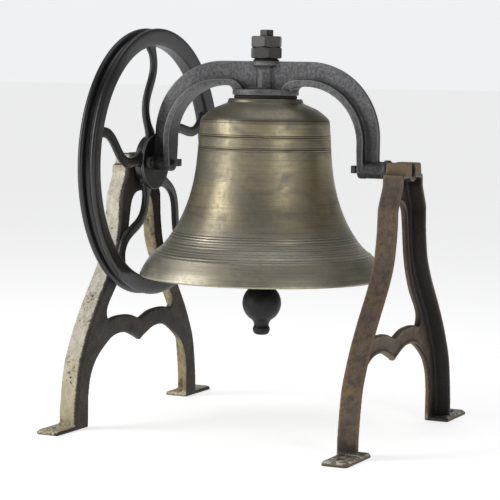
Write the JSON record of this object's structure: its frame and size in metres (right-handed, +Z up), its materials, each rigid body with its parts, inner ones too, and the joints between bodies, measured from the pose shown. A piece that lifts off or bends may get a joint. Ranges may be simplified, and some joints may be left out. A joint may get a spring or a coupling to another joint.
{
  "type": "yard dinner bell",
  "caption": "Bronze yard bell hung from a cast-iron yoke that rocks on A-frame stands, swung by a grooved rope wheel, with a clapper inside.",
  "frame": {"origin": "on the floor under the centre of the bell, midway between the four feet", "axes": "+Z up, X along the rocking axis with the rope wheel at -X, Y across the stands with the front at -Y"},
  "size_m": [0.811, 0.818, 0.983],
  "materials": {
    "bell_bronze": "turned bronze, dulled to olive brown by weather",
    "yoke_iron": "dark weathered casting with worn lighter edges",
    "wheel_iron": "near-black painted casting",
    "fastener_iron": "dark oiled iron",
    "clapper_iron": "black rough iron",
    "stand_left_paint": "peeling cream-grey paint over dark brown iron",
    "stand_right_paint": "olive-brown worn paint over rust",
    "gasket_leather": "dark compressed leather"
  },
  "bodies": {
    "stands": {"stand_left": "stand_left_paint", "stand_right": "stand_right_paint"},
    "swing": {"yoke": "yoke_iron", "wheel": "wheel_iron", "wheel_bolt_front": "fastener_iron", "wheel_bolt_rear": "fastener_iron", "wheel_nut_front": "fastener_iron", "wheel_nut_rear": "fastener_iron", "gudgeon_left": "fastener_iron", "gudgeon_right": "fastener_iron", "gudgeon_bolt_left": "fastener_iron", "gudgeon_bolt_right": "fastener_iron", "crown_gasket": "gasket_leather", "crown_washer": "fastener_iron", "hanger_bolt": "fastener_iron", "yoke_washer": "fastener_iron", "clamp_nut": "fastener_iron", "lock_nut": "fastener_iron", "clapper_pin": "fastener_iron", "clapper_pin_nut": "fastener_iron"},
    "bell": {"bell": "bell_bronze"},
    "clapper": {"clapper": "clapper_iron"}
  },
  "joints": [
    {"name": "bell_swing", "type": "hinge", "parent": "stands", "child": "swing", "pos_m": [0, 0, 0.646], "axis": [1, 0, 0], "range_deg": [-75, 75]},
    {"name": "bell_turn", "type": "hinge", "parent": "swing", "child": "bell", "pos_m": [0, 0, 0.646], "axis": [0, 0, 1], "continuous": true},
    {"name": "clapper_swing", "type": "hinge", "parent": "swing", "child": "clapper", "pos_m": [0, 0, 0.765], "axis": [1, 0, 0], "range_deg": [-29, 29]}
  ]
}
